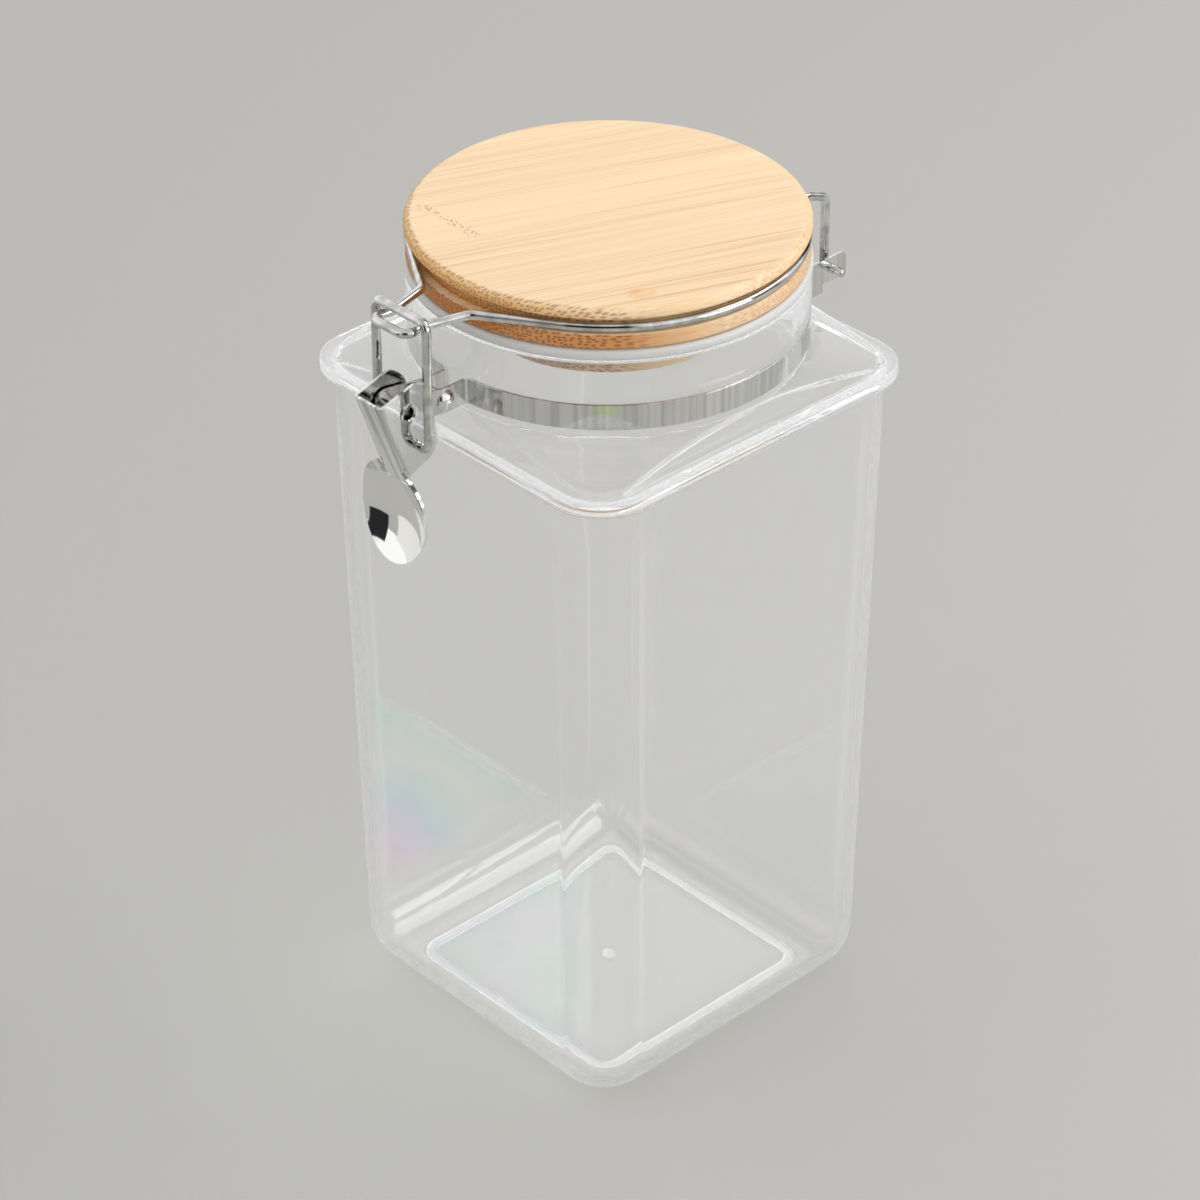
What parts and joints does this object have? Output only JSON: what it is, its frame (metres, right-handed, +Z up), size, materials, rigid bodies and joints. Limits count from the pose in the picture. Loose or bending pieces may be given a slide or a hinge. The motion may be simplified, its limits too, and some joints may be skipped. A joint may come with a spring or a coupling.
{
  "type": "canister",
  "caption": "Tall square clear canister with a conical shoulder, round neck and bamboo clip-top lid, with a wire bail, rear hinge and front lever clamp.",
  "frame": {"origin": "centre of the base, on the surface the canister stands on", "axes": "+Z up, -Y towards the clamp at the front, +Y towards the hinge, +X to the right seen from the front"},
  "size_m": [0.115, 0.1428, 0.239],
  "materials": {
    "clear_acrylic": "clear, polished mouldings",
    "band_steel": "bright rolled stainless strip",
    "rivet_steel": "bright stainless rivets",
    "lever_steel": "polished stamping with faint streaks along the web",
    "wire_steel": "bright drawn wire",
    "silicone": "milky, slightly see-through",
    "bamboo": "fine straight grain, lightly oiled"
  },
  "bodies": {
    "jar": {"body_shell": "clear_acrylic", "shoulder_neck": "clear_acrylic", "neck_band": "band_steel", "band_rivet": "rivet_steel", "lever_pivot": "rivet_steel", "hinge_bracket": "band_steel"},
    "lid": {"bamboo_lid": "bamboo", "gasket": "silicone", "bail_wire": "wire_steel"},
    "lever": {"lever": "lever_steel"},
    "link": {"link_wire": "wire_steel"}
  },
  "joints": [
    {"name": "lid_hinge", "type": "hinge", "parent": "jar", "child": "lid", "pos_m": [0, 0.0562, 0.211], "axis": [-1, 0, 0], "range_deg": [0, 165]},
    {"name": "lever_pivot", "type": "hinge", "parent": "jar", "child": "lever", "pos_m": [0, -0.0723, 0.2106], "axis": [-1, 0, 0], "range_deg": [0, 115]},
    {"name": "link_pivot", "type": "hinge", "parent": "lever", "child": "link", "pos_m": [0, -0.0698, 0.2006], "axis": [1, 0, 0], "range_deg": [0, 144]}
  ],
  "couplings": [
    {"joint": "link_pivot", "follows": "lever_pivot", "ratio": 1.25}
  ]
}
